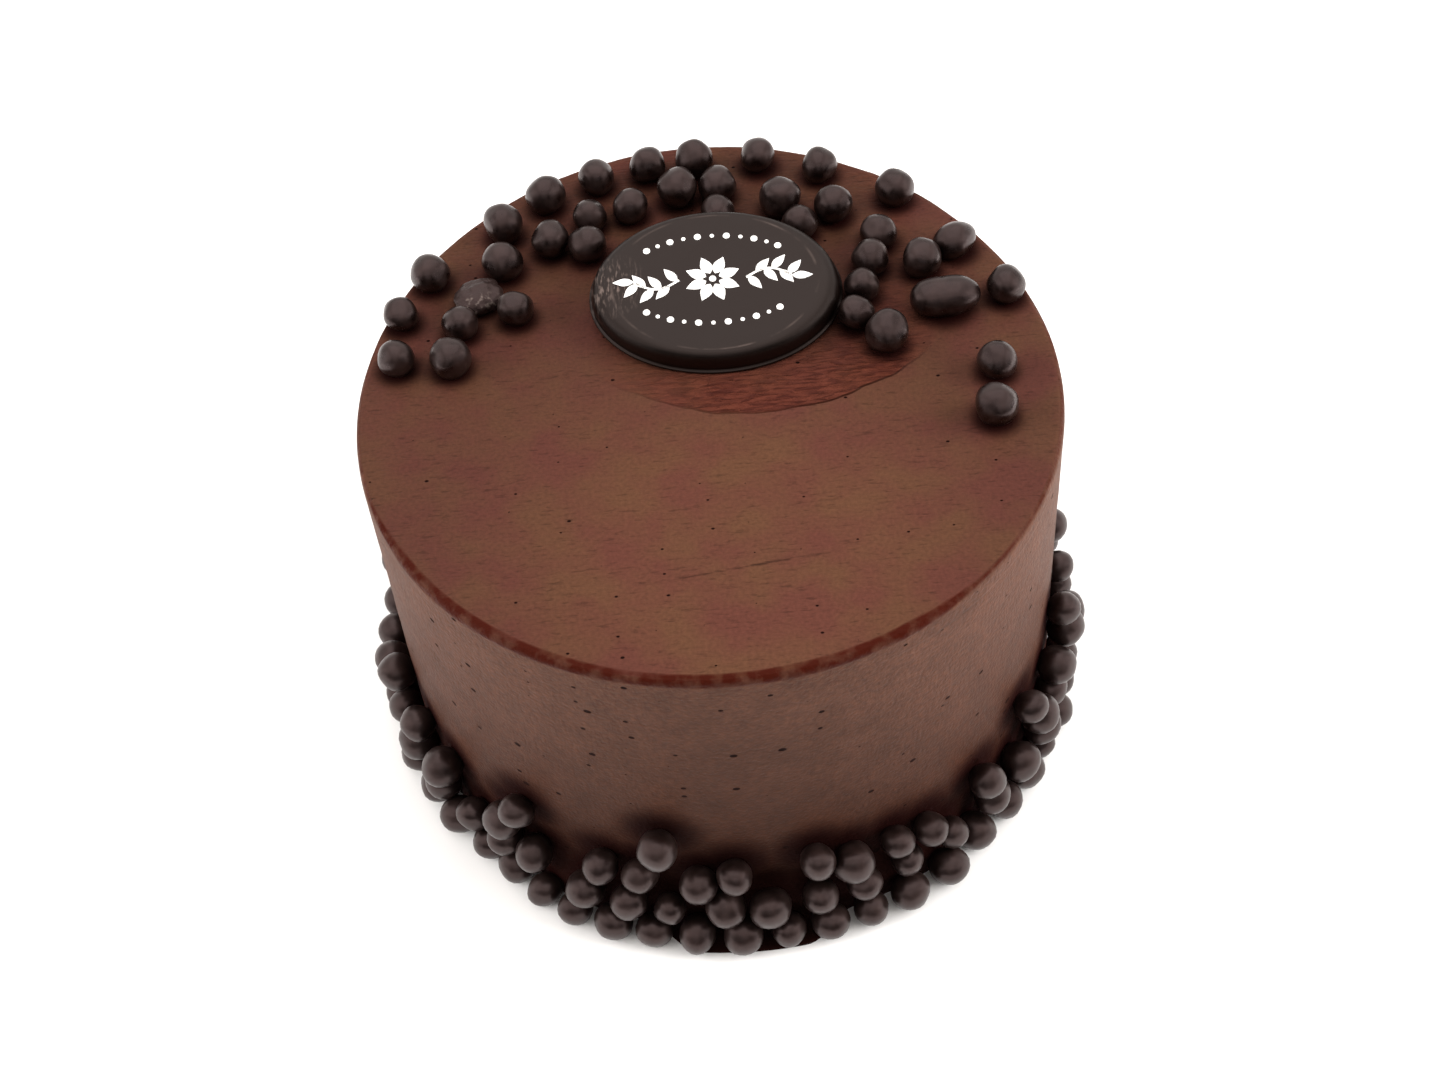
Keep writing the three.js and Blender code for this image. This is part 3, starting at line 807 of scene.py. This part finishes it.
def odd_piece(name, facts):
    """A ball stretched along its length, pinched at its waist and lumpy, resting on the cream."""
    pearl = next(p for p in top_pearls if p["odd"] == facts["at"])
    half = Vector((ODD_LENGTHS[facts["at"]], facts["width"], facts["height"])) / 2
    middle = Vector((pearl["x"], pearl["y"], CAKE_HEIGHT + half.z - TOP_SUNK))
    turn = Matrix.Rotation(math.radians(90 - facts["bearing"]), 3, "Z")
    points = [Vector((-1, 0, 0))]
    for row in range(1, ODD_ROWS):
        lengthwise = math.pi * row / ODD_ROWS
        along = -math.cos(lengthwise)
        girth = math.sin(lengthwise) ** facts["blunt"] * (1 - facts["taper"] * along)
        girth *= 1 - facts["waist"] * math.exp(-((along / WAIST_REACH) ** 2))
        for side in range(ODD_SIDES):
            roll = math.tau * side / ODD_SIDES
            points.append(Vector((along, girth * math.cos(roll), girth * math.sin(roll))))
    points.append(Vector((1, 0, 0)))
    placed = []
    for point in points:
        shape = point * half
        lump = noise.noise(shape / facts["lump_width"] + middle / MM)
        placed.append(middle + turn @ (shape + point * lump * facts["lump_height"]))
    piece = new_piece(name, placed, closed_skin(ODD_ROWS - 1, ODD_SIDES))
    piece.data.materials.append(pearl_chocolate)
    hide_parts("cake")
    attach(piece, "root")
    return piece


odd_piece("egg_pearl", EGG)
odd_piece("twin_pearl", TWIN)
crumb = odd_piece("crushed_pearl", CRUMB)

# The crushed one: the same chocolate, with the pale crisp showing in flecks along its front.
FLECK = 1.1 * MM
FLECK_PALE = "#5a504a"
BROKEN_SIDE = (0.5 * MM, 2.5 * MM)  # in front of its middle, where the flecks begin and are full
broken, tree, shader = new_material("broken_cereal_crisp")
where = add(tree, "ShaderNodeTexCoord").outputs["Object"]
fleck = add(tree, "ShaderNodeTexNoise", {"Vector": where, "Scale": 1 / FLECK, "Detail": 3.0})
fleck_share = add(tree, "ShaderNodeMapRange", {0: fleck, 1: 0.54, 2: 0.66})
crumb_middle = next(pearl["y"] for pearl in top_pearls if pearl["odd"] == CRUMB["at"])
forward = add(tree, "ShaderNodeSeparateXYZ", {0: where})
forward = add(tree, "ShaderNodeMapRange", {
    0: forward.outputs["Y"], 1: crumb_middle - BROKEN_SIDE[0], 2: crumb_middle - BROKEN_SIDE[1],
})
fleck_share = add(tree, "ShaderNodeMath", {0: fleck_share, 1: forward}, operation="MULTIPLY")
colour = add(tree, "ShaderNodeMix", {
    "Factor": fleck_share, 6: linear(PEARL_BLOOM), 7: linear(FLECK_PALE),
}, data_type="RGBA")
bump = add(tree, "ShaderNodeBump", {"Strength": 0.6, "Distance": 0.5 * MM, "Height": fleck})
fill(tree, shader, {
    "Base Color": colour, "Roughness": 0.45, "Normal": bump, "Specular Tint": linear(PEARL_GLINT),
})
crumb.data.materials[0] = broken

# ------------------------------------------------------------------ the pearls round the foot
# The same pearls, pressed by the handful into the soft cream at the foot: a ring on the table,
# then rows that thin out upwards, each pearl lodged on those below.
FOOT_PEARL, FOOT_UNEVEN = 8.4 * MM, 0.11
FOOT_PRESSED = 0.5 * MM
FOOT_GAP = 1.0 * MM
FOOT_SEED = 10723
# Rows above the first ring: places, share filled, and shift and scatter in shares of a place.
UPPER_ROWS = ((46, 0.95, 0.5, 0.4), (44, 0.72, 0.0, 0.5), (44, 0.25, 0.5, 0.6))
LONE_PEARL = {"angle": -13.5, "height": 34 * MM, "radius": 4.6 * MM}
RING_RADIUS = BASE_RADIUS + FOOT_PEARL / 2 - FOOT_PRESSED


def turn_between(a, b):
    return (a - b + 180) % 360 - 180


def resting_height(radius, angle, pearls):
    height = radius
    for other in pearls:
        across = math.radians(turn_between(angle, other["angle"])) * RING_RADIUS
        reach = radius + other["radius"] + PEARL_CLEAR
        if abs(across) < reach:
            height = max(height, other["height"] + math.sqrt(reach * reach - across * across))
    return height


draw = drawer(FOOT_SEED)


def foot_radius():
    return FOOT_PEARL / 2 * (1 + FOOT_UNEVEN * (2 * draw() - 1))


foot_pearls = []
angle, radius = -180, foot_radius()
first_radius = radius
while True:
    foot_pearls.append({"angle": angle, "height": radius, "radius": radius})
    following = foot_radius()
    step = math.degrees((radius + following + PEARL_CLEAR + FOOT_GAP * draw()) / RING_RADIUS)
    closing = math.degrees((following + first_radius + PEARL_CLEAR) / RING_RADIUS)
    if angle + step + closing > 180:
        break
    angle += step
    radius = following
for places, filled, shift, scatter in UPPER_ROWS:
    for spot in range(places):
        used = draw() < filled
        turn = (spot + shift + scatter * (draw() - 0.5)) * 360 / places
        radius = foot_radius()
        if used:
            angle = turn_between(turn, 180)
            height = resting_height(radius, angle, foot_pearls)
            foot_pearls.append({"angle": angle, "height": height, "radius": radius})
foot_pearls.append(LONE_PEARL)

for pearl in foot_pearls:
    out = wall_radius(pearl["height"], pearl["angle"]) + pearl["radius"] - FOOT_PRESSED
    turn = math.radians(pearl["angle"])
    pearl["at"] = (out * math.sin(turn), -out * math.cos(turn), pearl["height"])
pressed_in = pearl_places("foot_pearls", foot_pearls)
worked(pressed_in, panned, {
    "Roundness": 3, "Least Stretch": 0.93, "Most Stretch": 1.05,
    "Bump Height": 1.0 * MM, "Bump Width": 5 * MM, "Seed": 11, "Material": pearl_chocolate,
})
# The lowest ones stand flat on the table, and none reaches below it.
for vertex in pressed_in.data.vertices:
    vertex.co.z = max(vertex.co.z, 0)
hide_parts("cake")
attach(pressed_in, "root")

# How near each point of the cream is to a pearl, from 0 to 1, for the soaked cream's colour, which
# is partly painted shade. The thin lip on the table gets half as much.
NEAR_PEARL_TOP, NEAR_PEARL_FOOT, NEAR_PEARL_GAIN = 3.4 * MM, 9 * MM, 1.15
soaked_and_shaded = [0.0] * len(coat.data.vertices)
for pearls, reach in ((top_pearls, NEAR_PEARL_TOP), (foot_pearls, NEAR_PEARL_FOOT)):
    tree = KDTree(len(pearls))
    for i, pearl in enumerate(pearls):
        tree.insert(pearl["at"], i)
    tree.balance()
    for vertex in coat.data.vertices:
        for _, i, distance in tree.find_n(vertex.co, 3):
            near = 1 - max(0, distance - pearls[i]["radius"]) / reach
            near = ease(NEAR_PEARL_GAIN * near) * (0.5 + 0.5 * ease(vertex.co.z / LIP_THICK - 1))
            soaked_and_shaded[vertex.index] = max(soaked_and_shaded[vertex.index], near)
mark_points(coat, "near_pearl", soaked_and_shaded)

# ------------------------------------------------------------------ the plaque
# An oval of dark chocolate cast in a mould, with rounded shoulders and a thin flash at its
# bottom edge. It leans back on the pearls behind it, its front edge on the cream.
FLASH = 0.6 * MM
SHOULDER_RUN, SHOULDER_FRONT_RUN = 4.6 * MM, 2.2 * MM  # in from the ends, and from the front
SHOULDER_START = 1.2 * MM
SHOULDER_POWER = 0.85  # below 1, so the shoulder is fuller than a quarter round
PLAQUE_SIDES, SHOULDER_ROWS = 144, 14
UNDER_START, UNDER_ROW, FACE_ROW = 3 * MM, 4 * MM, 1.5 * MM

plaque_place = (
    Matrix.Translation(PLAQUE_FRONT)
    @ Matrix.Rotation(PLAQUE_TILT, 4, "X")
    @ Matrix.Translation((0, PLAQUE_WIDTH / 2, 0))
    @ Matrix.Rotation(PLAQUE_TURN, 4, "Z")
)

# The outline's rows from the underside to the top: half length, half width and height.
plaque_half = PLAQUE_LENGTH / 2
oval = PLAQUE_WIDTH / PLAQUE_LENGTH
flash_side = plaque_half - FLASH
outline = [(along, along * oval, 0) for along in steps(UNDER_START, plaque_half, UNDER_ROW)]
# The flash, in shares of its size: its side, its rounded edge and its top.
for inward, height in ((0, 0), (0, 0.6), (0.2, 0.8), (0.9, 1), (1, 1.3)):
    inward *= FLASH
    outline.append((plaque_half - inward, plaque_half * oval - inward, height * FLASH))
for i in range(SHOULDER_ROWS + 1):
    turn = math.pi / 2 * i / SHOULDER_ROWS
    inward = 1 - math.cos(turn) ** SHOULDER_POWER
    outline.append((
        flash_side - SHOULDER_RUN * inward,
        plaque_half * oval - FLASH - SHOULDER_FRONT_RUN * inward,
        SHOULDER_START + (PLAQUE_THICK - SHOULDER_START) * math.sin(turn) ** SHOULDER_POWER,
    ))
face_half, face_across = outline[-1][:2]
outline += [
    (along, along * face_across / face_half, PLAQUE_THICK)
    for along in steps(face_half, INNERMOST, FACE_ROW)[1:]
]
plaque_points = [Vector((0, 0, 0))]
from_middle = [0.0]
for along, across, height in outline:
    for side in range(PLAQUE_SIDES):
        turn = math.tau * side / PLAQUE_SIDES
        from_middle.append(along if height > 0 else 0.0)
        plaque_points.append(Vector((along * math.sin(turn), -across * math.cos(turn), height)))
plaque_points.append(Vector((0, 0, PLAQUE_THICK)))
from_middle.append(0.0)
plaque = new_piece(
    "cast_plaque",
    [plaque_place @ point for point in plaque_points],
    closed_skin(len(outline), PLAQUE_SIDES),
)
mark_points(plaque, "from_middle", from_middle)

# Moulded dark chocolate: a soft even gloss from the mould, rubbed grey on the left shoulder, and
# paler in places along the edge of its face, where it is a painted highlight.
PLAQUE_DARK, PLAQUE_SCUFF_AND_HIGHLIGHT, PLAQUE_GLINT = "#090504", "#5e514b", "#ffe6de"
PLAQUE_CLOUD = 9 * MM
RUB = (0.5 * MM, 2.2 * MM, 2 * MM)
RUB_FROM_END, RUB_REACH = 4.5 * MM, (9 * MM, 2 * MM)
EDGE_HIGHLIGHT_BAND = (0.45 * MM, 0.1 * MM)
moulded, tree, shader = new_material("moulded_dark_chocolate")
where = add(tree, "ShaderNodeTexCoord").outputs["Object"]
cloud = add(tree, "ShaderNodeTexNoise", {
    "Vector": where, "Scale": 1 / PLAQUE_CLOUD, "Detail": 4.0,
})
shade = add(tree, "ShaderNodeMapRange", {0: cloud, 1: 0.3, 2: 0.7, 3: 0.85, 4: 1.2})
colour = add(tree, "ShaderNodeMix", {
    "Factor": 1.0, 6: linear(PLAQUE_DARK), 7: shade,
}, data_type="RGBA", blend_type="MULTIPLY")
rub = drawn_out(tree, where, RUB, 5.0)
rub = add(tree, "ShaderNodeMapRange", {0: rub, 1: 0.52, 2: 0.68})
from_rubbed = add(tree, "ShaderNodeVectorMath", {
    0: where, 1: plaque_place @ Vector((RUB_FROM_END - plaque_half, 0, PLAQUE_THICK)),
}, operation="DISTANCE")
paler = add(tree, "ShaderNodeMapRange", {
    0: from_rubbed.outputs["Value"], 1: RUB_REACH[0], 2: RUB_REACH[1],
})
paler = add(tree, "ShaderNodeMath", {0: paler, 1: rub}, operation="MULTIPLY")
# A painted highlight, in patches, along the edge between the face and the shoulder, in the same
# pale colour as the rubbing.
reach = add(tree, "ShaderNodeAttribute", attribute_name="from_middle").outputs["Fac"]
edge_highlight = add(tree, "ShaderNodeMath", {0: reach, 1: face_half}, operation="SUBTRACT")
edge_highlight = add(tree, "ShaderNodeMath", {0: edge_highlight}, operation="ABSOLUTE")
edge_highlight = add(tree, "ShaderNodeMapRange", {0: edge_highlight, 1: EDGE_HIGHLIGHT_BAND[0], 2: EDGE_HIGHLIGHT_BAND[1]})
edge_highlight_share = add(tree, "ShaderNodeMapRange", {0: cloud, 1: 0.46, 2: 0.66, 4: 0.4})
edge_highlight = add(tree, "ShaderNodeMath", {0: edge_highlight, 1: edge_highlight_share}, operation="MULTIPLY")
paler = add(tree, "ShaderNodeMath", {0: paler, 1: edge_highlight}, operation="MAXIMUM")
colour = add(tree, "ShaderNodeMix", {
    "Factor": paler, 6: colour, 7: linear(PLAQUE_SCUFF_AND_HIGHLIGHT),
}, data_type="RGBA")
gloss = add(tree, "ShaderNodeMapRange", {0: cloud, 1: 0.3, 2: 0.7, 3: 0.30, 4: 0.40})
bump = add(tree, "ShaderNodeBump", {"Strength": 0.35, "Distance": 0.4 * MM, "Height": cloud})
fill(tree, shader, {
    "Base Color": colour, "Roughness": gloss, "Normal": bump, "IOR": 1.41,
    "Specular Tint": linear(PLAQUE_GLINT),
})
plaque.data.materials.append(moulded)
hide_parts("plaque")
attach(plaque, "root")

# ------------------------------------------------------------------ the print on the plaque
# White cocoa butter, screened on through a stencil: a blossom between two leafy sprigs, with a
# row of dots above and below it.
PRINT_THICK = 0.12 * MM
PRINT_SUNK = 0.03 * MM
PRINT_ROWS = 12
FINE_TIP = 0.03 * MM
INK_WHITE = "#efece7"
BLOSSOM_CENTRE, PETALS = Vector((-0.4, 0.6)) * MM, 8
PETAL_START, PETAL_LENGTH, PETAL_WIDTH = 1.5 * MM, 4.6 * MM, 2.5 * MM
SPRIG_START, SPRIG_END, SPRIG_RISE = 7.2 * MM, 17 * MM, 2.2 * MM
STEM_WIDTH = 0.5 * MM
SPRIG_LEAVES, SPRIG_LEAF_TURN = 6, 50
SPRIG_LEAF_LENGTH, SPRIG_LEAF_WIDTH = 4.4 * MM, 1.9 * MM
DOT_ARC = Vector((20, 11.5)) * MM
DOTS, DOT_STEP = 11, 9.0
DOT_RADII = (0.75 * MM, 0.45 * MM)

print_points, print_faces = [], []


def printed(middles, half_widths):
    """Adds one flat closed shape of ink: points along its middle, and its half width at each."""
    first = len(print_points)
    low = PLAQUE_THICK - PRINT_SUNK
    for i, (middle, half) in enumerate(zip(middles, half_widths)):
        ahead = middles[min(i + 1, len(middles) - 1)] - middles[max(i - 1, 0)]
        left = Vector((-ahead.y, ahead.x)).normalized() * half
        for edge in (middle + left, middle - left):
            for height in (low, low + PRINT_THICK):
                print_points.append(plaque_place @ Vector((edge.x, edge.y, height)))
    for row in range(len(middles) - 1):
        a = first + 4 * row
        b = a + 4
        print_faces.extend([
            (a + 1, a + 3, b + 3, b + 1),
            (a, b, b + 2, a + 2),
            (a, a + 1, b + 1, b),
            (a + 2, b + 2, b + 3, a + 3),
        ])
    print_faces.append((first, first + 2, first + 3, first + 1))
    end = len(print_points) - 4
    print_faces.append((end, end + 1, end + 3, end + 2))


def toward_angle(angle):
    """The direction at an angle in degrees, from the right of the plaque to its far side."""
    return Vector((math.cos(math.radians(angle)), math.sin(math.radians(angle))))


def printed_leaf(start, angle, length, width):
    """A leaf from its start, at an angle in degrees, widest below its middle, with a fine tip."""
    ahead = toward_angle(angle)
    shares = [i / PRINT_ROWS for i in range(PRINT_ROWS + 1)]
    printed(
        [start + ahead * length * share for share in shares],
        [FINE_TIP + width / 2 * math.sin(math.pi * share**0.8) for share in shares],
    )


def printed_dot(centre, radius):
    turns = [math.pi * i / PRINT_ROWS for i in range(PRINT_ROWS + 1)]
    printed(
        [centre - Vector((radius * math.cos(turn), 0)) for turn in turns],
        [FINE_TIP + radius * math.sin(turn) for turn in turns],
    )


printed_dot(BLOSSOM_CENTRE, DOT_RADII[0])
for petal in range(PETALS):
    angle = 360 * (petal + 0.5) / PETALS
    start = BLOSSOM_CENTRE + toward_angle(angle) * PETAL_START
    printed_leaf(start, angle, PETAL_LENGTH, PETAL_WIDTH)

for side in (-1, 1):
    stem = []
    for i in range(4 * SPRIG_LEAVES):
        share = i / (4 * SPRIG_LEAVES - 1)
        along = SPRIG_START + (SPRIG_END - SPRIG_START) * share
        rise = SPRIG_RISE * math.sin(math.pi * share) * side
        stem.append(BLOSSOM_CENTRE + Vector((side * along, rise)))
    printed(stem, [STEM_WIDTH / 2] * len(stem))
    outward = 0 if side > 0 else 180
    for leaf in range(SPRIG_LEAVES):
        turn = SPRIG_LEAF_TURN if leaf % 2 else -SPRIG_LEAF_TURN
        printed_leaf(stem[4 * leaf + 1], outward + turn, SPRIG_LEAF_LENGTH, SPRIG_LEAF_WIDTH)
    printed_leaf(stem[-1], outward, SPRIG_LEAF_LENGTH, SPRIG_LEAF_WIDTH)

for middle_angle in (90, 270):
    for i in range(DOTS):
        angle = middle_angle + (i - (DOTS - 1) / 2) * DOT_STEP
        printed_dot(BLOSSOM_CENTRE + DOT_ARC * toward_angle(angle), DOT_RADII[i % 2])

sprigs = new_piece("printed_sprigs", print_points, print_faces)
sprigs.data.shade_flat()
# White cocoa butter ink: dull, so that it stands out from the gloss of the chocolate.
ink, tree, shader = new_material("white_cocoa_butter_ink")
fill(tree, shader, {"Base Color": linear(INK_WHITE), "Roughness": 0.6})
sprigs.data.materials.append(ink)
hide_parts("plaque")
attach(sprigs, "root")
